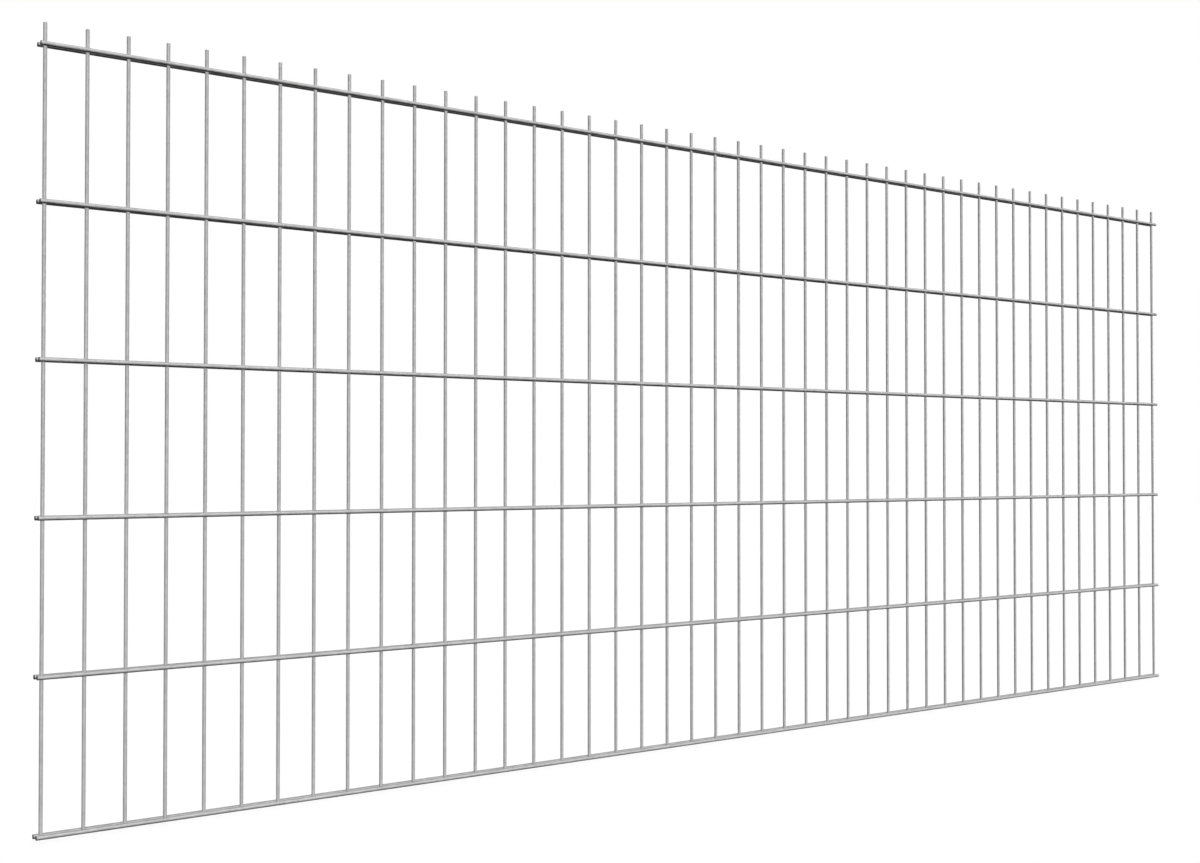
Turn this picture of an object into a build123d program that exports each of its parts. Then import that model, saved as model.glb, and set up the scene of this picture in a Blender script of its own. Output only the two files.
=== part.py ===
from build123d import *
import os

# Welded double-rod mesh fence panel, in millimetres.
# X runs along the panel, Z is up, and the front of the panel looks towards -Y.
# The origin is on the ground line, midway along the panel and midway through its thickness.

# Driving dimensions
VERTICAL_DIAMETER = 5.0
HORIZONTAL_DIAMETER = 6.0
VERTICAL_COUNT = 46
VERTICAL_PITCH = 55.0
ROW_COUNT = 6
ROW_PITCH = 200.0
# Each horizontal rod runs this far past the axis of the end vertical rods.
STUB_LENGTH = 7.5
# Each vertical rod runs this far above the axis of the top row.
TIP_HEIGHT = 28.0

# A front and a rear rod clamp every vertical rod between them, each touching it along their crossing.
ROD_AXIS_OFFSET = (VERTICAL_DIAMETER + HORIZONTAL_DIAMETER) / 2
MESH_LENGTH = (VERTICAL_COUNT - 1) * VERTICAL_PITCH
PANEL_LENGTH = MESH_LENGTH + 2 * STUB_LENGTH
# The vertical rods are cut flush with the underside of the bottom row.
BOTTOM_ROW_Z = HORIZONTAL_DIAMETER / 2
TOP_ROW_Z = BOTTOM_ROW_Z + (ROW_COUNT - 1) * ROW_PITCH
PANEL_HEIGHT = TOP_ROW_Z + TIP_HEIGHT


def round_rod(start, diameter, length):
    """A straight length of round wire, cut square at both ends, along the start plane's normal."""
    profile = start * Circle(diameter / 2)
    return extrude(profile, length)


def vertical_rod(x):
    """An upright rod, from the ground line to its free tip above the top row."""
    start = Plane(origin=(x, 0, 0), z_dir=(0, 0, 1))
    return round_rod(start, VERTICAL_DIAMETER, PANEL_HEIGHT)


def horizontal_rod(y, z):
    """A level rod, from the left cut end to the right one."""
    start = Plane(origin=(-PANEL_LENGTH / 2, y, z), z_dir=(1, 0, 0))
    return round_rod(start, HORIZONTAL_DIAMETER, PANEL_LENGTH)


def vertical_rods():
    """The upright rods by name, counted from the left end of the panel."""
    rods = {}
    for index in range(VERTICAL_COUNT):
        x = index * VERTICAL_PITCH - MESH_LENGTH / 2
        rods[f"vertical_rod_{index + 1:02d}"] = vertical_rod(x)
    return rods


def horizontal_rods():
    """The front and rear rods of each row by name, counted from the bottom row."""
    rods = {}
    for row in range(ROW_COUNT):
        z = BOTTOM_ROW_Z + row * ROW_PITCH
        rods[f"front_horizontal_rod_{row + 1}"] = horizontal_rod(-ROD_AXIS_OFFSET, z)
        rods[f"rear_horizontal_rod_{row + 1}"] = horizontal_rod(ROD_AXIS_OFFSET, z)
    return rods


def main():
    """Write one STEP file for each rod."""
    os.makedirs("parts", exist_ok=True)
    rods = vertical_rods() | horizontal_rods()
    for name, rod in rods.items():
        rod.label = name
        export_step(rod, f"parts/{name}.step")


if __name__ == "__main__":
    main()
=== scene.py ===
"""Looks of a welded double-rod mesh fence panel: zinc coating, weld beads, studio and camera."""

import logging
import math
from dataclasses import dataclass
from enum import Enum
from functools import cache
from typing import ClassVar

import bpy
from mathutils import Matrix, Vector


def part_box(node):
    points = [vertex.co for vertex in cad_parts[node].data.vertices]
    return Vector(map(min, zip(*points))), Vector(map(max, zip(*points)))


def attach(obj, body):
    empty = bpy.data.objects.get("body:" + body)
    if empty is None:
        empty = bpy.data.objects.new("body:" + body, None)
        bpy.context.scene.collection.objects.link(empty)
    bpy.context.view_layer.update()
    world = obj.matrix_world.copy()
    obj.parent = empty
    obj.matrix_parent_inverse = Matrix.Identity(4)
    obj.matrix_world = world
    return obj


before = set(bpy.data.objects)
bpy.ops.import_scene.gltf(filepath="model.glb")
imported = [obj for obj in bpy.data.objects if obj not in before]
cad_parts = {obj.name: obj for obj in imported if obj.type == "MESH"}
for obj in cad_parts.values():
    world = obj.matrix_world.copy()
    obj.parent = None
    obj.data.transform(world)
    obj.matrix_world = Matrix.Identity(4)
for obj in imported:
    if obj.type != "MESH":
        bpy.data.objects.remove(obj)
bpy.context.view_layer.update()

MM = 0.001
BODY = "root"

LOG = logging.getLogger("fence_panel")

Socket = bpy.types.NodeSocket
Source = Socket | float | int | str | tuple | bpy.types.ID


class RodKind(Enum):
    """The three runs of rods, by the start of their node names."""

    VERTICAL = "vertical_rod_"
    FRONT = "front_horizontal_rod_"
    REAR = "rear_horizontal_rod_"

    def nodes(self) -> list[str]:
        """The names of this run's nodes, from the left or from the bottom."""
        return sorted(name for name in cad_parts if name.startswith(self.value))


class RodAxis(Enum):
    """The way a rod runs, as the index of its coordinate."""

    ALONG_PANEL = 0
    UPRIGHT = 2


def middle(node: str) -> Vector:
    """The middle of a rod's box."""
    low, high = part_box(node)
    return (low + high) / 2


@dataclass(frozen=True)
class MeshLayout:
    """Where the rods of the panel are, in metres.

    Attributes:
        columns: how many vertical rods there are.
        rows: how many rows of paired horizontal rods there are.
        first_column: X of the left vertical rod's axis.
        column_pitch: distance from one vertical rod to the next.
        bottom_row: Z of the bottom row's axes.
        row_pitch: distance from one row to the next.
        axis_depth: distance of the horizontal rods' axes from the middle of the panel's thickness.
        vertical_radius: radius of a vertical rod.
        horizontal_radius: radius of a horizontal rod.
        half_length: X of the right cut ends of the horizontal rods.
        height: Z of the vertical rods' tips.
    """

    columns: int
    rows: int
    first_column: float
    column_pitch: float
    bottom_row: float
    row_pitch: float
    axis_depth: float
    vertical_radius: float
    horizontal_radius: float
    half_length: float
    height: float

    @classmethod
    def from_frame(cls) -> "MeshLayout":
        """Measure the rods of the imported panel.

        Returns:
            The layout of its mesh.
        """
        verticals = RodKind.VERTICAL.nodes()
        rows = RodKind.FRONT.nodes()
        first = middle(verticals[0])
        last = middle(verticals[-1])
        bottom = middle(rows[0])
        top = middle(rows[-1])
        vertical_low, vertical_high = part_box(verticals[0])
        horizontal_low, horizontal_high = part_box(rows[0])
        return cls(
            columns=len(verticals),
            rows=len(rows),
            first_column=first.x,
            column_pitch=(last.x - first.x) / (len(verticals) - 1),
            bottom_row=bottom.z,
            row_pitch=(top.z - bottom.z) / (len(rows) - 1),
            axis_depth=abs(bottom.y),
            vertical_radius=(vertical_high.x - vertical_low.x) / 2,
            horizontal_radius=(horizontal_high.z - horizontal_low.z) / 2,
            half_length=horizontal_high.x,
            height=vertical_high.z,
        )


class RandomKind(Enum):
    """The kinds of random value, each with the indices of its lowest, highest and result sockets."""

    NUMBER = ("FLOAT", 2, 3, 1)
    WHOLE = ("INT", 4, 5, 2)


class NodeDesk:
    """A node tree with short ways to add nodes and wire them.

    Attributes:
        tree: the tree.
    """

    NOISE_ROUGHNESS: ClassVar[float] = 0.6

    def __init__(self, tree: bpy.types.NodeTree) -> None:
        """Work on this tree."""
        self.tree = tree

    def feed(self, socket: Socket, source: Source) -> None:
        """Link a socket to an output, or set its own value.

        Args:
            socket: the socket.
            source: the output or the value.
        """
        if isinstance(source, Socket):
            self.tree.links.new(source, socket)
        else:
            socket.default_value = source

    def add(
        self, kind: str, inputs: dict[str | int, Source] | None = None, **settings: object
    ) -> bpy.types.Node:
        """Add one node.

        Args:
            kind: the node's type name.
            inputs: what goes into its sockets, by socket name or index.
            settings: the node's own properties, which are set first.

        Returns:
            The new node.
        """
        node = self.tree.nodes.new(kind)
        for name, value in settings.items():
            setattr(node, name, value)
        for key, source in (inputs or {}).items():
            self.feed(node.inputs[key], source)
        return node

    def math(self, operation: str, *sources: Source) -> Socket:
        """Add a Math node.

        Args:
            operation: its operation.
            sources: its operands, in order.

        Returns:
            Its result.
        """
        return self.add("ShaderNodeMath", dict(enumerate(sources)), operation=operation).outputs[0]

    def vector_math(self, operation: str, *sources: Source) -> Socket:
        """Add a Vector Math node that gives a vector.

        Args:
            operation: its operation.
            sources: its operands, in order.

        Returns:
            Its vector.
        """
        node = self.add("ShaderNodeVectorMath", dict(enumerate(sources)), operation=operation)
        return node.outputs["Vector"]

    def split(self, vector: Socket) -> bpy.types.NodeOutputs:
        """The X, Y and Z of a vector."""
        return self.add("ShaderNodeSeparateXYZ", {0: vector}).outputs

    def join(self, x: Source, y: Source, z: Source) -> Socket:
        """The vector of an X, a Y and a Z."""
        return self.add("ShaderNodeCombineXYZ", {"X": x, "Y": y, "Z": z}).outputs[0]

    def around(self, value: Source, centre: float, swing: float) -> Socket:
        """Turn a value between 0 and 1 into one that swings about a centre.

        Args:
            value: the value between 0 and 1.
            centre: what one half becomes.
            swing: how far 0 and 1 lie from the centre.

        Returns:
            The new value.
        """
        return self.math("MULTIPLY_ADD", value, 2 * swing, centre - swing)

    def noise(self, place: Socket, scale: float, detail: float) -> Socket:
        """Add a noise.

        Args:
            place: the coordinates that it reads.
            scale: its scale.
            detail: how many finer layers it has.

        Returns:
            A value between 0 and 1.
        """
        inputs = {"Vector": place, "Scale": scale, "Detail": detail, "Roughness": self.NOISE_ROUGHNESS}
        return self.add("ShaderNodeTexNoise", inputs).outputs["Fac"]

    def random(self, kind: RandomKind, low: Source, high: Source, seed: Source) -> Socket:
        """Add a random value.

        Args:
            kind: the kind of value.
            low: the lowest value.
            high: the highest value.
            seed: its seed.

        Returns:
            The value, which differs from point to point.
        """
        data_type, lowest, highest, result = kind.value
        inputs = {lowest: low, highest: high, "Seed": seed}
        return self.add("FunctionNodeRandomValue", inputs, data_type=data_type).outputs[result]


class TreeKind(Enum):
    """The two kinds of node group that the panel uses."""

    SHADER = "ShaderNodeTree"
    GEOMETRY = "GeometryNodeTree"


def new_group(
    name: str, inputs: dict[str, str], outputs: dict[str, str], kind: TreeKind = TreeKind.SHADER
) -> tuple[NodeDesk, bpy.types.NodeOutputs, bpy.types.NodeInputs]:
    """Start a node group.

    Args:
        name: the group's name.
        inputs: socket type by input name.
        outputs: socket type by output name.
        kind: what the group works on.

    Returns:
        The desk to build it on, what is given to the group, and where its results go.
    """
    tree = bpy.data.node_groups.new(name, kind.value)
    for label, socket_type in inputs.items():
        tree.interface.new_socket(label, in_out="INPUT", socket_type=socket_type)
    for label, socket_type in outputs.items():
        tree.interface.new_socket(label, in_out="OUTPUT", socket_type=socket_type)
    desk = NodeDesk(tree)
    return desk, desk.add("NodeGroupInput").outputs, desk.add("NodeGroupOutput").inputs


def new_material(name: str) -> tuple[bpy.types.Material, NodeDesk]:
    """Start a material.

    Args:
        name: the material's name.

    Returns:
        The material, still without nodes, and the desk to build it on.
    """
    material = bpy.data.materials.new(name)
    material.use_nodes = True
    material.node_tree.nodes.clear()
    return material, NodeDesk(material.node_tree)


@dataclass(frozen=True)
class ZincCoat:
    """The dull grey skin that hot-dip zinc leaves on drawn wire.

    Attributes:
        grey: mean reflected share of light, the same for all colours.
        roughness: mean roughness.
        metallic: mean share of bare metal that shows through the dull skin.
        specular: strength of the dull skin's own reflection.
        crystal_size: width of a zinc crystal, in metres.
        crystal_ripples: how many ripples of its edge go to a crystal's width.
        crystal_swing: how much lighter or darker a crystal may be, as a share.
        crystal_rough: how much rougher or smoother a crystal may be.
        crystal_bare: how much more or less bare metal a crystal may show, as a share.
        cloud_size: width of the patina's light and dark patches, in metres.
        cloud_swing: how much lighter or darker a patch may be, as a share.
        cloud_rough: how much rougher or smoother a patch may be.
        grain_size: width of the fine grain, in metres.
        grain_swing: how much lighter or darker the grain may be, as a share.
        grain_height: height of the grain, as a share of the relief.
        streak_length: length of the drawing marks, in metres.
        streak_width: width of the drawing marks, in metres.
        streak_swing: how much lighter or darker the drawing marks may be, as a share.
        streak_height: height of the drawing marks, as a share of the relief.
        relief: height of the grain and the marks together, in metres.
        darkening: how much darker the zinc is where it is darkened by 1, as a share; both a duller skin and
            painted shade feed it.
        roughening: how much rougher it is there.
    """

    grey: float = 0.53
    roughness: float = 0.58
    metallic: float = 0.04
    specular: float = 0.05
    crystal_size: float = 5 * MM
    crystal_ripples: float = 2.0
    crystal_swing: float = 0.07
    crystal_rough: float = 0.06
    crystal_bare: float = 0.7
    cloud_size: float = 90 * MM
    cloud_swing: float = 0.16
    cloud_rough: float = 0.08
    grain_size: float = 0.9 * MM
    grain_swing: float = 0.14
    grain_height: float = 0.6
    streak_length: float = 60 * MM
    streak_width: float = 0.7 * MM
    streak_swing: float = 0.10
    streak_height: float = 0.4
    relief: float = 0.03 * MM
    darkening: float = 0.35
    roughening: float = 0.15

    @cache
    def group(self) -> bpy.types.NodeTree:
        """The shared node group, built on first use.

        Returns:
            A group that puts out the coat's colour, roughness, share of bare metal and height.
        """
        desk, given, result = new_group(
            "zinc_coat",
            {
                "Place": "NodeSocketVector",
                "Streak Scale": "NodeSocketVector",
                "Mottle": "NodeSocketFloat",
                "Darkened": "NodeSocketFloat",
            },
            {
                "Colour": "NodeSocketColor",
                "Roughness": "NodeSocketFloat",
                "Metallic": "NodeSocketFloat",
                "Height": "NodeSocketFloat",
            },
        )
        place = given["Place"]
        darkened = given["Darkened"]
        crystal = self.crystals(desk, place)
        clouds = desk.noise(place, 1 / self.cloud_size, detail=3.0)
        grain = desk.noise(place, 1 / self.grain_size, detail=4.0)
        streaked = desk.vector_math("MULTIPLY", place, given["Streak Scale"])
        streaks = desk.noise(streaked, 1.0, detail=2.0)

        shade = desk.around(crystal, 1.0, self.crystal_swing)
        swings = ((clouds, self.cloud_swing), (grain, self.grain_swing), (streaks, self.streak_swing))
        for value, swing in swings:
            shade = desk.math("MULTIPLY", shade, desk.around(value, 1.0, swing))
        shade = desk.math("MULTIPLY_ADD", desk.math("SUBTRACT", shade, 1.0), given["Mottle"], 1.0)
        # Darkened holds a duller skin and, on the level rods and cut ends, painted shade; both darken the
        # colour here.
        shade = desk.math("MULTIPLY", shade, desk.math("MULTIPLY_ADD", darkened, -self.darkening, 1.0))

        rough = desk.around(crystal, self.roughness, self.crystal_rough)
        rough = desk.math("ADD", rough, desk.around(clouds, 0.0, self.cloud_rough))
        bare = desk.around(crystal, self.metallic, self.crystal_bare * self.metallic)
        marks = desk.math("MULTIPLY", streaks, self.streak_height)

        desk.feed(result["Colour"], desk.math("MULTIPLY", shade, self.grey))
        desk.feed(result["Roughness"], desk.math("MULTIPLY_ADD", darkened, self.roughening, rough))
        desk.feed(result["Metallic"], bare)
        desk.feed(result["Height"], desk.math("MULTIPLY_ADD", grain, self.grain_height, marks))
        return desk.tree

    def crystals(self, desk: NodeDesk, place: Socket) -> Socket:
        """Add the zinc crystals, with feathered edges.

        Args:
            desk: the zinc group's desk.
            place: the coordinates that they follow.

        Returns:
            A value between 0 and 1 for each crystal.
        """
        ripple_scale = self.crystal_ripples / self.crystal_size
        ripple = desk.add("ShaderNodeTexNoise", {"Vector": place, "Scale": ripple_scale, "Detail": 3.0})
        shift = desk.vector_math("MULTIPLY", ripple.outputs["Color"], (self.crystal_size,) * 3)
        feathered = desk.vector_math("ADD", place, shift)
        cells = desk.add("ShaderNodeTexVoronoi", {"Vector": feathered, "Scale": 1 / self.crystal_size})
        return desk.add("ShaderNodeSeparateColor", {0: cells.outputs["Color"]}).outputs[0]

    def lay(
        self,
        desk: NodeDesk,
        place: Socket,
        streak_scale: tuple[float, float, float],
        mottle: float,
        darkened: Source,
    ) -> None:
        """Finish a material with the zinc and the shader that it feeds.

        Args:
            desk: the material's desk.
            place: the coordinates that the zinc follows.
            streak_scale: the scale of the drawing marks.
            mottle: how strongly the greys of the zinc differ, as a share.
            darkened: how dull the zinc is, with any painted shade added.
        """
        given = {"Place": place, "Streak Scale": streak_scale, "Mottle": mottle, "Darkened": darkened}
        zinc = desk.add("ShaderNodeGroup", given, node_tree=self.group()).outputs
        bump = desk.add("ShaderNodeBump", {"Height": zinc["Height"], "Distance": self.relief})
        shader = desk.add(
            "ShaderNodeBsdfPrincipled",
            {
                "Base Color": zinc["Colour"],
                "Roughness": zinc["Roughness"],
                "Metallic": zinc["Metallic"],
                "Specular IOR Level": self.specular,
                "Normal": bump.outputs["Normal"],
            },
        )
        desk.add("ShaderNodeOutputMaterial", {"Surface": shader.outputs["BSDF"]})


@dataclass(frozen=True)
class Ramp:
    """A smooth rise.

    Attributes:
        start: where it is still 0.
        stop: where it is full.
    """

    start: float
    stop: float

    def rise(self, desk: NodeDesk, value: Socket, full: float = 1.0) -> Socket:
        """Add the rise.

        Args:
            desk: where to add it.
            value: what it follows.
            full: what it rises to.

        Returns:
            The risen value.
        """
        inputs = {"Value": value, "From Min": self.start, "From Max": self.stop, "To Max": full}
        return desk.add("ShaderNodeMapRange", inputs, interpolation_type="SMOOTHSTEP").outputs["Result"]


@dataclass(frozen=True)
class LevelPaintedShade:
    """Painted shade on a level rod: darker above, below and on the inner side that faces its paired rod.

    Heights above the rod's axis and depths towards the panel's middle are shares of the rod's radius.

    Attributes:
        layout: where the rods are.
        top_shade: how much painted shade darkens the upper side.
        top_shade_heights: heights between which the painted shade on the upper side sets in.
        underside: how much painted shade darkens the underside.
        dark_heights: heights between which the dark underside sets in.
        climb: how much higher it starts on the inner side, where the paired rods face each other.
        inner_shade: how much painted shade darkens the inner side.
        inner_shade_below: how much more painted shade the inner side gets on its underside, as a share of the
            underside's own.
        inner_depths: depths between which the inner side sets in.
        patch_size: width of the patches that break up the edges, in metres.
        patch_shift: how far a patch moves an edge up or down.
    """

    layout: MeshLayout
    top_shade: float = 1.3
    top_shade_heights: Ramp = Ramp(0.35, 0.9)
    underside: float = 1.2
    dark_heights: Ramp = Ramp(-0.27, -0.72)
    climb: float = 0.4
    inner_shade: float = 0.3
    inner_shade_below: float = 0.2
    inner_depths: Ramp = Ramp(0.2, 0.8)
    patch_size: float = 14 * MM
    patch_shift: float = 0.2

    def darkened(self, desk: NodeDesk, place: Socket) -> Socket:
        """Add the mask of the painted shade on the top, lower and inner sides.

        Args:
            desk: the material's desk.
            place: the rod's own coordinates.

        Returns:
            How much the painted shade darkens the zinc at each place.
        """
        radius = self.layout.horizontal_radius
        half_pitch = self.layout.row_pitch / 2
        point = desk.split(place)
        from_bottom = desk.math("SUBTRACT", point["Z"], self.layout.bottom_row)
        from_axis = desk.math("WRAP", from_bottom, half_pitch, -half_pitch)
        patches = desk.around(desk.noise(place, 1 / self.patch_size, detail=3.0), 0.0, self.patch_shift)
        height = desk.math("ADD", desk.math("DIVIDE", from_axis, radius), patches)
        towards_middle = desk.math("SUBTRACT", self.layout.axis_depth, desk.math("ABSOLUTE", point["Y"]))
        depth = desk.math("MAXIMUM", desk.math("DIVIDE", towards_middle, radius), 0.0)

        # Painted shade: darker on top, darker below, and darker on the inner side between the paired rods.
        top_shaded = self.top_shade_heights.rise(desk, height, self.top_shade)
        lowered = desk.math("MULTIPLY_ADD", depth, -self.climb, height)
        under = self.dark_heights.rise(desk, lowered, self.underside)
        inner_shade_level = desk.math("MULTIPLY_ADD", under, self.inner_shade_below, self.inner_shade)
        inner_shaded = desk.math("MULTIPLY", self.inner_depths.rise(desk, depth), inner_shade_level)
        return desk.math("ADD", desk.math("ADD", top_shaded, under), inner_shaded)


@dataclass(frozen=True)
class RodFinish:
    """The finish of one run of rods: zinc, duller around the welds, darker on the cut ends from a duller skin
    and painted shade.

    Attributes:
        name: the material's name.
        axis: the way the rods run.
        low_end: coordinate of the lower or left cut ends, in metres.
        high_end: coordinate of the upper or right cut ends, in metres.
        first_weld: coordinate of the first weld along the rod, in metres.
        weld_pitch: distance from one weld to the next, in metres.
        mottle: how strongly the greys of the zinc differ, as a share.
        darkened: how dull the zinc is all over.
        painted_shade: painted shade on the rods' top, lower and inner sides, where they lie level.
        coat: the zinc on them.
        halo_reach: how far a weld dulls the rod, in metres.
        halo_dulled: how much duller the rod is at a weld.
        end_dull_and_shade: how much darker the cut ends are, partly a duller skin and partly painted shade.
    """

    name: str
    axis: RodAxis
    low_end: float
    high_end: float
    first_weld: float
    weld_pitch: float
    mottle: float
    darkened: float
    painted_shade: LevelPaintedShade | None = None
    coat: ZincCoat = ZincCoat()
    halo_reach: float = 6 * MM
    halo_dulled: float = 0.1
    end_dull_and_shade: float = 1.3

    HALO_FADE: ClassVar[float] = 1.5
    END_SKIN: ClassVar[float] = 0.02 * MM

    @classmethod
    @cache
    def halo_group(cls) -> bpy.types.NodeTree:
        """The shared mask of the dulled lengths around the welds, built on first use.

        Returns:
            A group that puts out 1 at a weld and 0 past its reach.
        """
        desk, given, result = new_group(
            "weld_halo",
            dict.fromkeys(("Along", "First", "Pitch", "Reach"), "NodeSocketFloat"),
            {"Mask": "NodeSocketFloat"},
        )
        from_first = desk.math("SUBTRACT", given["Along"], given["First"])
        distance = desk.math("PINGPONG", from_first, desk.math("MULTIPLY", given["Pitch"], 0.5))
        nearness = desk.math("SUBTRACT", 1.0, desk.math("DIVIDE", distance, given["Reach"]))
        mask = desk.math("POWER", desk.math("MAXIMUM", nearness, 0.0), cls.HALO_FADE)
        desk.feed(result["Mask"], mask)
        return desk.tree

    @classmethod
    @cache
    def end_group(cls) -> bpy.types.NodeTree:
        """The shared mask of the square-cut ends, built on first use.

        Returns:
            A group that puts out 1 on the cut ends and 0 elsewhere.
        """
        desk, given, result = new_group(
            "cut_end",
            dict.fromkeys(("Along", "Low", "High"), "NodeSocketFloat"),
            {"Mask": "NodeSocketFloat"},
        )
        above_low = desk.math("ADD", given["Low"], cls.END_SKIN)
        below_high = desk.math("SUBTRACT", given["High"], cls.END_SKIN)
        low_end = desk.math("LESS_THAN", given["Along"], above_low)
        high_end = desk.math("GREATER_THAN", given["Along"], below_high)
        desk.feed(result["Mask"], desk.math("MAXIMUM", low_end, high_end))
        return desk.tree

    def material(self) -> bpy.types.Material:
        """Build the finish.

        Returns:
            The material.
        """
        material, desk = new_material(self.name)
        place = desk.add("ShaderNodeTexCoord").outputs["Object"]
        along = desk.split(place)[self.axis.value]
        welds = {"Along": along, "First": self.first_weld, "Pitch": self.weld_pitch, "Reach": self.halo_reach}
        halo = desk.add("ShaderNodeGroup", welds, node_tree=self.halo_group()).outputs["Mask"]
        ends = {"Along": along, "Low": self.low_end, "High": self.high_end}
        end = desk.add("ShaderNodeGroup", ends, node_tree=self.end_group()).outputs["Mask"]
        darkened = desk.math("MULTIPLY_ADD", halo, self.halo_dulled, self.darkened)
        # The cut ends are darker partly from a duller skin and partly as painted shade.
        darkened = desk.math("MULTIPLY_ADD", end, self.end_dull_and_shade, darkened)
        # Painted shade on the top, lower and inner sides of level rods.
        if self.painted_shade:
            darkened = desk.math("ADD", darkened, self.painted_shade.darkened(desk, place))
        self.coat.lay(desk, place, self.streak_scale(), self.mottle, darkened)
        return material

    def streak_scale(self) -> tuple[float, float, float]:
        """The scale of the drawing marks, which run along the rod.

        Returns:
            The scale by coordinate.
        """
        scale = [1 / self.coat.streak_width] * 3
        scale[self.axis.value] = 1 / self.coat.streak_length
        return tuple(scale)


@dataclass(frozen=True)
class WeldFinish:
    """The finish of the weld beads: the same zinc, pooled, so that it has grain and no drawing marks.

    Attributes:
        name: the material's name.
        mottle: how strongly the greys of the zinc differ, as a share.
        darkened: how dull the zinc is all over.
        coat: the zinc on them.
    """

    name: str = "zinc_on_welds"
    mottle: float = 1.0
    darkened: float = 0.2
    coat: ZincCoat = ZincCoat()

    def material(self) -> bpy.types.Material:
        """Build the finish.

        Returns:
            The material.
        """
        material, desk = new_material(self.name)
        place = desk.add("ShaderNodeTexCoord").outputs["Object"]
        self.coat.lay(desk, place, (1 / self.coat.grain_size,) * 3, self.mottle, self.darkened)
        return material


@dataclass(frozen=True)
class RodMesh:
    """The rods of the panel, which keep their shapes and get their finishes.

    Attributes:
        layout: where the rods are.
    """

    layout: MeshLayout

    def finishes(self) -> dict[RodKind, bpy.types.Material]:
        """Build the finish of each run of rods.

        Returns:
            The materials by run.
        """
        upright = RodFinish(
            "zinc_on_vertical_rods",
            RodAxis.UPRIGHT,
            low_end=0.0,
            high_end=self.layout.height,
            first_weld=self.layout.bottom_row,
            weld_pitch=self.layout.row_pitch,
            mottle=0.65,
            darkened=0.17,
        ).material()
        level = RodFinish(
            "zinc_on_horizontal_rods",
            RodAxis.ALONG_PANEL,
            low_end=-self.layout.half_length,
            high_end=self.layout.half_length,
            first_weld=self.layout.first_column,
            weld_pitch=self.layout.column_pitch,
            mottle=0.85,
            darkened=0.0,
            # The level rods get painted shade on their top, lower and inner sides.
            painted_shade=LevelPaintedShade(self.layout),
        ).material()
        return {RodKind.VERTICAL: upright, RodKind.FRONT: level, RodKind.REAR: level}

    def dress(self) -> list[bpy.types.Object]:
        """Give every rod its finish.

        Returns:
            The rods.
        """
        rods = []
        for kind, material in self.finishes().items():
            for name in kind.nodes():
                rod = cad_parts[name]
                rod.material_slots[0].material = material
                rods.append(rod)
        return rods


class WeldSide(Enum):
    """The two faces of the panel that carry welds, by the turn about Z from the front one."""

    FRONT = 0.0
    REAR = math.pi


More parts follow.
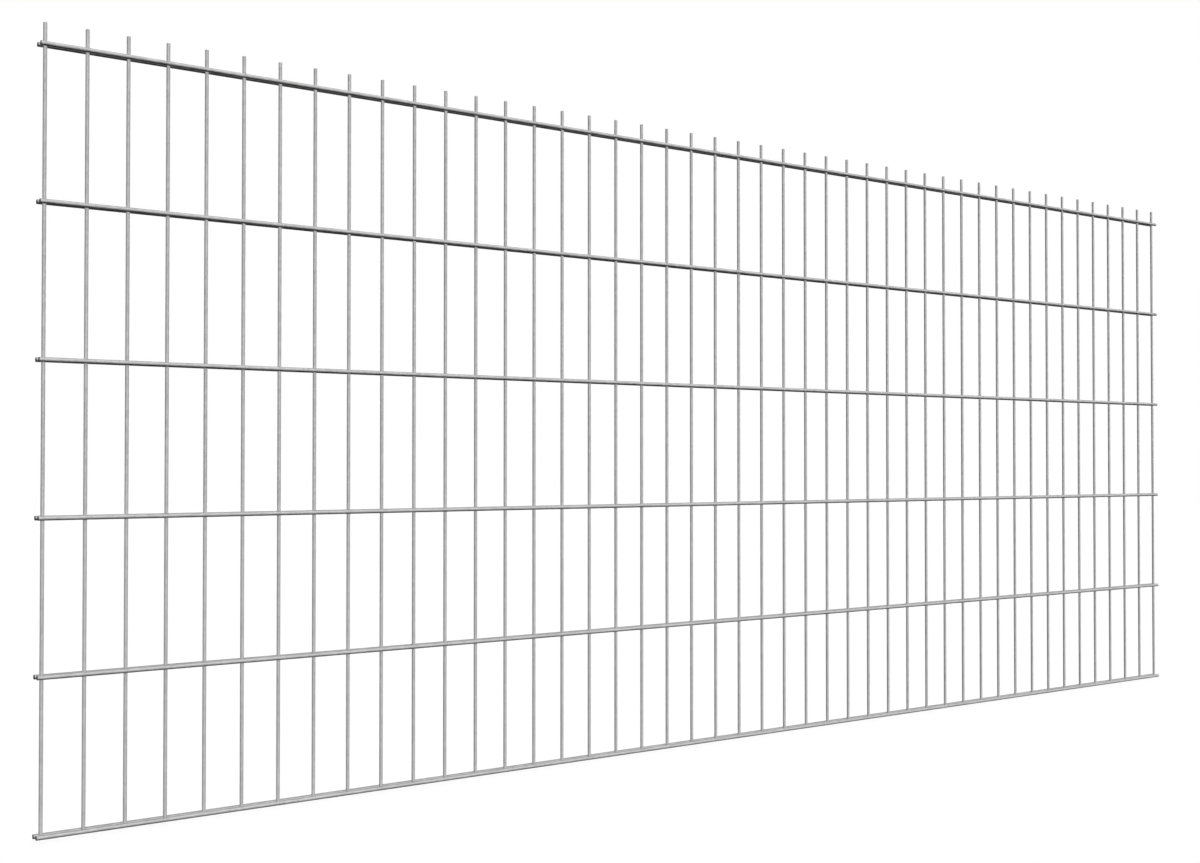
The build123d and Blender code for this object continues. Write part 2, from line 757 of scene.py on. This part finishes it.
@dataclass(frozen=True)
class WeldBeads:
    """The beads that the welding squeezes out between each vertical rod and the rods across it.

    Attributes:
        layout: where the rods are.
        reach: how far a bead runs along each rod from their crossing, in metres.
        grip: how far it runs round each rod, as a share of the rod's radius.
        waist: its width halfway between the rods, as a share of its width on them.
        sink: how deep its ends lie in the rods, in metres.
        unevenness: how much its outline wanders, as a share of its width.
        wander_scale: how quickly its outline wanders, in wanders to half its width.
        shrink: how much smaller the smallest bead is, as a share.
        seed: seed of all that is random.
        variants: how many different beads a face has.
    """

    layout: MeshLayout
    reach: float = 2.8 * MM
    grip: float = 0.86
    waist: float = 0.84
    sink: float = 0.2 * MM
    unevenness: float = 0.13
    wander_scale: float = 1.3
    shrink: float = 0.14
    seed: int = 11
    variants: int = 4

    SIDES: ClassVar[int] = 16
    BANDS: ClassVar[int] = 2
    SHAPE_INPUTS: ClassVar[tuple[str, ...]] = (
        "Vertical Radius",
        "Horizontal Radius",
        "Reach",
        "Grip",
        "Waist",
        "Sink",
        "Unevenness",
        "Wander Scale",
    )
    OUTPUTS: ClassVar[dict[str, str]] = {"Geometry": "NodeSocketGeometry"}

    def bead_group(self) -> bpy.types.NodeTree:
        """The node group of one bead, a tube that is pulled to shape, with its middle where the rods touch.

        Returns:
            The group.
        """
        inputs = dict.fromkeys(self.SHAPE_INPUTS, "NodeSocketFloat") | {"Seed": "NodeSocketInt"}
        desk, size, result = new_group("weld_bead", inputs, self.OUTPUTS, TreeKind.GEOMETRY)
        tube = desk.add(
            "GeometryNodeMeshCylinder",
            {"Vertices": self.SIDES, "Side Segments": self.BANDS, "Radius": 1.0, "Depth": 2.0},
            fill_type="NGON",
        ).outputs
        place = self.bead_surface(desk, size)
        shaped = desk.add("GeometryNodeSetPosition", {"Geometry": tube["Mesh"], "Position": place})
        smooth = desk.add("GeometryNodeSetShadeSmooth", {"Geometry": shaped.outputs[0]}, domain="FACE")
        rims = desk.add("FunctionNodeBooleanMath", {0: tube["Top"], 1: tube["Bottom"]}, operation="OR")
        creased = desk.add(
            "GeometryNodeSetShadeSmooth",
            {"Geometry": smooth.outputs[0], "Selection": rims.outputs[0], "Shade Smooth": False},
            domain="EDGE",
        )
        desk.feed(result["Geometry"], creased.outputs[0])
        return desk.tree

    def bead_surface(self, desk: NodeDesk, size: bpy.types.NodeOutputs) -> Socket:
        """Where the tube's corners go. It runs from -1 on the vertical rod to 1 on the horizontal one.

        Args:
            desk: the bead group's desk.
            size: the bead group's inputs.

        Returns:
            The place of each corner.
        """
        corner = desk.split(desk.add("GeometryNodeInputPosition").outputs[0])
        to_horizontal = desk.math("MULTIPLY_ADD", corner["Z"], 0.5, 0.5)
        to_vertical = desk.math("SUBTRACT", 1.0, to_horizontal)
        wander = desk.add(
            "ShaderNodeTexNoise", {"W": size["Seed"], "Scale": size["Wander Scale"]}, noise_dimensions="4D"
        ).outputs["Fac"]
        swell = desk.math("MULTIPLY_ADD", desk.around(wander, 0.0, 1.0), size["Unevenness"], 1.0)
        towards_ends = desk.math("MULTIPLY", corner["Z"], corner["Z"])
        opening = desk.math("SUBTRACT", 1.0, size["Waist"])
        swell = desk.math("MULTIPLY", swell, desk.math("MULTIPLY_ADD", towards_ends, opening, size["Waist"]))

        across = self.half_width(desk, size, "Vertical Radius", to_horizontal)
        across = desk.math("MULTIPLY", desk.math("MULTIPLY", across, swell), corner["X"])
        upward = self.half_width(desk, size, "Horizontal Radius", to_vertical)
        upward = desk.math("MULTIPLY", desk.math("MULTIPLY", upward, swell), corner["Y"])
        into_vertical = desk.math("ADD", self.drop(desk, size["Vertical Radius"], across), size["Sink"])
        into_horizontal = desk.math("ADD", self.drop(desk, size["Horizontal Radius"], upward), size["Sink"])
        span = desk.math("ADD", into_vertical, into_horizontal)
        depth = desk.math("SUBTRACT", into_vertical, desk.math("MULTIPLY", to_horizontal, span))
        return desk.join(across, depth, upward)

    @staticmethod
    def half_width(desk: NodeDesk, size: bpy.types.NodeOutputs, radius: str, along: Socket) -> Socket:
        """The bead's half width in the direction across one rod and along the other.

        Args:
            desk: the bead group's desk.
            size: the bead group's inputs.
            radius: the input with the radius of the rod that it runs across.
            along: 0 on that rod and 1 on the other one.

        Returns:
            The half width, which turns from a grip round the one rod to a reach along the other.
        """
        grip = desk.math("MULTIPLY", size[radius], size["Grip"])
        return desk.math("MULTIPLY_ADD", desk.math("SUBTRACT", size["Reach"], grip), along, grip)

    @staticmethod
    def drop(desk: NodeDesk, radius: Socket, offset: Socket) -> Socket:
        """How far a round rod's surface falls away beside its crest.

        Args:
            desk: the bead group's desk.
            radius: the rod's radius.
            offset: distance from the crest, across the rod.

        Returns:
            The fall.
        """
        square = desk.math("SUBTRACT", desk.math("POWER", radius, 2.0), desk.math("POWER", offset, 2.0))
        return desk.math("SUBTRACT", radius, desk.math("SQRT", desk.math("MAXIMUM", square, 0.0)))

    def tree(self, material: bpy.types.Material) -> bpy.types.NodeTree:
        """The node tree that sets a bead on every crossing of one face.

        Args:
            material: the finish of the beads.

        Returns:
            The tree.
        """
        desk, size, result = new_group("weld_beads", self.input_types(), self.OUTPUTS, TreeKind.GEOMETRY)
        smallest = desk.math("SUBTRACT", 1.0, size["Shrink"])
        shrunk = desk.random(RandomKind.NUMBER, smallest, 1.0, size["Seed"])
        beads = desk.add(
            "GeometryNodeInstanceOnPoints",
            {
                "Points": self.crossings(desk, size),
                "Instance": self.shapes(desk, size),
                "Pick Instance": True,
                "Instance Index": desk.random(RandomKind.WHOLE, 0, self.variants - 1, size["Seed"]),
                "Rotation": desk.join(0.0, 0.0, size["Turn"]),
                "Scale": desk.join(shrunk, 1.0, shrunk),
            },
        )
        real = desk.add("GeometryNodeRealizeInstances", {0: beads.outputs[0]})
        dressed = desk.add("GeometryNodeSetMaterial", {"Geometry": real.outputs[0], "Material": material})
        desk.feed(result["Geometry"], dressed.outputs[0])
        return desk.tree

    @staticmethod
    def crossings(desk: NodeDesk, size: bpy.types.NodeOutputs) -> Socket:
        """Add a point where the rods touch at each crossing, row by row from the bottom left.

        Args:
            desk: the tree's desk.
            size: the tree's inputs.

        Returns:
            The points.
        """
        index = desk.add("GeometryNodeInputIndex").outputs[0]
        column = desk.math("MODULO", index, size["Columns"])
        row = desk.math("FLOOR", desk.math("DIVIDE", index, size["Columns"]))
        across = desk.math("MULTIPLY_ADD", column, size["Column Pitch"], size["First Column"])
        upward = desk.math("MULTIPLY_ADD", row, size["Row Pitch"], size["Bottom Row"])
        outward = desk.math("MULTIPLY", desk.math("COSINE", size["Turn"]), size["Vertical Radius"])
        place = desk.join(across, desk.math("MULTIPLY", outward, -1.0), upward)
        count = desk.math("MULTIPLY", size["Columns"], size["Rows"])
        return desk.add("GeometryNodePoints", {"Count": count, "Position": place}).outputs[0]

    def shapes(self, desk: NodeDesk, size: bpy.types.NodeOutputs) -> Socket:
        """Add the different beads of a face.

        Args:
            desk: the tree's desk.
            size: the tree's inputs.

        Returns:
            The beads, each an instance to pick.
        """
        bead = self.bead_group()
        shapes = desk.add("GeometryNodeJoinGeometry")
        for variant in range(self.variants):
            given = {label: size[label] for label in self.SHAPE_INPUTS}
            given["Seed"] = desk.math("ADD", size["Seed"], variant)
            shape = desk.add("GeometryNodeGroup", given, node_tree=bead)
            single = desk.add("GeometryNodeGeometryToInstance", {0: shape.outputs[0]})
            desk.feed(shapes.inputs[0], single.outputs[0])
        return shapes.outputs[0]

    def values(self, side: WeldSide) -> dict[str, float | int]:
        """What goes into the tree's inputs.

        Args:
            side: the face of the panel.

        Returns:
            The values by input name.
        """
        return {
            "Columns": self.layout.columns,
            "Rows": self.layout.rows,
            "First Column": self.layout.first_column,
            "Column Pitch": self.layout.column_pitch,
            "Bottom Row": self.layout.bottom_row,
            "Row Pitch": self.layout.row_pitch,
            "Vertical Radius": self.layout.vertical_radius,
            "Horizontal Radius": self.layout.horizontal_radius,
            "Reach": self.reach,
            "Grip": self.grip,
            "Waist": self.waist,
            "Sink": self.sink,
            "Unevenness": self.unevenness,
            "Wander Scale": self.wander_scale,
            "Shrink": self.shrink,
            "Turn": side.value,
            "Seed": self.seed + list(WeldSide).index(side) * self.variants,
        }

    def input_types(self) -> dict[str, str]:
        """The socket type of each of the tree's inputs."""
        kinds = {int: "NodeSocketInt", float: "NodeSocketFloat"}
        return {name: kinds[type(value)] for name, value in self.values(WeldSide.FRONT).items()}

    def piece(self, side: WeldSide, tree: bpy.types.NodeTree) -> bpy.types.Object:
        """Make the beads of one face as a plain mesh.

        Args:
            side: the face of the panel.
            tree: the tree that makes them.

        Returns:
            The finished object.
        """
        name = f"{side.name.lower()}_welds"
        piece = bpy.data.objects.new(name, bpy.data.meshes.new(name))
        bpy.context.scene.collection.objects.link(piece)
        maker = piece.modifiers.new("weld_beads", "NODES")
        maker.node_group = tree
        sockets = {item.name: item.identifier for item in tree.interface.items_tree if item.in_out == "INPUT"}
        for label, value in self.values(side).items():
            maker[sockets[label]] = value
        made = piece.evaluated_get(bpy.context.evaluated_depsgraph_get())
        mesh = bpy.data.meshes.new_from_object(made)
        # The tubes bring an empty material slot, which stands before the one that all faces use.
        mesh.materials.pop(index=0)
        piece.modifiers.remove(maker)
        piece.data = mesh
        mesh.name = name
        return piece

    def build(self) -> list[bpy.types.Object]:
        """Set the beads on both faces.

        Returns:
            The beads of the front and those of the rear.
        """
        tree = self.tree(WeldFinish().material())
        pieces = [self.piece(side, tree) for side in WeldSide]
        for piece in pieces:
            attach(piece, BODY)
        return pieces


@dataclass(frozen=True)
class PhotoCamera:
    """The camera at the photograph's place.

    Attributes:
        place: where it stands, in metres.
        aim: the point of the panel on its optical axis, in metres.
        focal_px: focal length, in pixels of the photograph.
        axis_drop_px: how far the optical axis lies below the picture's middle, in pixels.
        width_px: width of the photograph, in pixels.
        sensor_mm: width of the sensor, in millimetres.
    """

    place: tuple[float, float, float] = (-1.9686, -2.0326, 0.4719)
    aim: tuple[float, float, float] = (-0.3355, 0.0, 0.5173)
    focal_px: float = 1618.6
    axis_drop_px: float = 3.8
    width_px: float = 1200.0
    sensor_mm: float = 36.0

    def build(self) -> None:
        """Set the camera up."""
        data = bpy.data.cameras.new("photo_camera")
        data.sensor_width = self.sensor_mm
        data.lens = self.sensor_mm * self.focal_px / self.width_px
        data.shift_y = self.axis_drop_px / self.width_px
        camera = bpy.data.objects.new("photo_camera", data)
        bpy.context.scene.collection.objects.link(camera)
        look = Vector(self.aim) - Vector(self.place)
        camera.location = self.place
        camera.rotation_euler = look.to_track_quat("-Z", "Y").to_euler()
        bpy.context.scene.camera = camera


@dataclass(frozen=True)
class Lamp:
    """A soft distant lamp.

    Attributes:
        name: its name.
        towards: the way its light travels.
        strength: its strength, in watts per square metre.
        softness_deg: how wide it looks from the panel, in degrees.
        casts_shadow: whether a rod shades the next one from it.
        sheen_only: whether it shows in the rods' sheen alone.
    """

    name: str
    towards: tuple[float, float, float]
    strength: float
    softness_deg: float
    casts_shadow: bool = True
    sheen_only: bool = False

    def build(self) -> None:
        """Hang the lamp."""
        data = bpy.data.lights.new(self.name, "SUN")
        data.energy = self.strength
        data.angle = math.radians(self.softness_deg)
        data.use_shadow = self.casts_shadow
        lamp = bpy.data.objects.new(self.name, data)
        lamp.visible_diffuse = not self.sheen_only
        lamp.rotation_euler = Vector(self.towards).to_track_quat("-Z", "Y").to_euler()
        bpy.context.scene.collection.objects.link(lamp)


def grey(level: float) -> tuple[float, float, float, float]:
    """An opaque grey, where 1 is white."""
    return (level, level, level, 1.0)


@dataclass(frozen=True)
class Studio:
    """A white studio: pale floor, white surround and soft lamps.

    Attributes:
        floor_size: width of the floor, in metres.
        floor_grey: reflected share of the floor.
        floor_glow: light that lifts the floor to white in the picture.
        bounce_grey: reflected share of the floor for the light that it throws back on the panel.
        ambient: light from all round the panel.
        lamps: the lamps.
    """

    floor_size: float = 30.0
    floor_grey: float = 0.8
    floor_glow: float = 0.125
    bounce_grey: float = 0.02
    ambient: float = 0.13
    lamps: tuple[Lamp, ...] = (
        Lamp("key_lamp", (0.091, 0.65, -0.755), strength=3.65, softness_deg=12.0, casts_shadow=False),
        Lamp(
            "sheen_lamp",
            (0.341, 0.937, -0.07),
            strength=7.0,
            softness_deg=12.0,
            casts_shadow=False,
            sheen_only=True,
        ),
        Lamp("rear_lamp", (-0.49, -0.86, -0.14), strength=2.3, softness_deg=30.0),
    )

    @staticmethod
    def seen(desk: NodeDesk) -> Socket:
        """Add a mask of the rays that see the white surround.

        Args:
            desk: where to add it.

        Returns:
            1 for camera, glossy and transmission rays, and 0 for the rest.
        """
        path = desk.add("ShaderNodeLightPath").outputs
        mirrored = desk.math("MAXIMUM", path["Is Glossy Ray"], path["Is Transmission Ray"])
        return desk.math("MAXIMUM", path["Is Camera Ray"], mirrored)

    def floor(self) -> None:
        """Lay the floor under the panel."""
        half = self.floor_size / 2
        corners = [(-half, -half, 0), (half, -half, 0), (half, half, 0), (-half, half, 0)]
        mesh = bpy.data.meshes.new("floor")
        mesh.from_pydata(corners, [], [(0, 1, 2, 3)])
        mesh.materials.append(self.floor_material())
        floor = bpy.data.objects.new("floor", mesh)
        bpy.context.scene.collection.objects.link(floor)

    def floor_material(self) -> bpy.types.Material:
        """Build the pale floor, white in the picture but for the panel's shadow.

        Returns:
            The material.
        """
        material, desk = new_material("pale_floor")
        pale = desk.add("ShaderNodeBsdfDiffuse", {"Color": grey(self.floor_grey)})
        glow = desk.add("ShaderNodeEmission", {"Color": grey(1.0), "Strength": self.floor_glow})
        white = desk.add("ShaderNodeAddShader", {0: pale.outputs[0], 1: glow.outputs[0]})
        dim = desk.add("ShaderNodeBsdfDiffuse", {"Color": grey(self.bounce_grey)})
        mix = desk.add("ShaderNodeMixShader", {0: self.seen(desk), 1: dim.outputs[0], 2: white.outputs[0]})
        desk.add("ShaderNodeOutputMaterial", {"Surface": mix.outputs[0]})
        return material

    def surround(self) -> None:
        """Put up the white surround, which lights the panel softly."""
        world = bpy.data.worlds.new("white_surround")
        world.use_nodes = True
        world.node_tree.nodes.clear()
        desk = NodeDesk(world.node_tree)
        white = desk.add("ShaderNodeBackground", {"Color": grey(1.0), "Strength": 1.0})
        soft = desk.add("ShaderNodeBackground", {"Color": grey(1.0), "Strength": self.ambient})
        mix = desk.add("ShaderNodeMixShader", {0: self.seen(desk), 1: soft.outputs[0], 2: white.outputs[0]})
        desk.add("ShaderNodeOutputWorld", {"Surface": mix.outputs[0]})
        bpy.context.scene.world = world

    def build(self) -> None:
        """Set the whole studio up."""
        self.floor()
        self.surround()
        for lamp in self.lamps:
            lamp.build()
        bpy.context.scene.view_settings.view_transform = "Standard"


def main() -> None:
    """Dress the panel, report each piece, light the panel and aim the camera."""
    logging.basicConfig(level=logging.INFO, format="%(name)s: %(message)s")
    layout = MeshLayout.from_frame()
    for piece in RodMesh(layout).dress() + WeldBeads(layout).build():
        finish = piece.material_slots[0].material
        LOG.info("%s: %d faces in %s", piece.name, len(piece.data.polygons), finish.name)
    Studio().build()
    PhotoCamera().build()


if __name__ == "__main__":
    main()
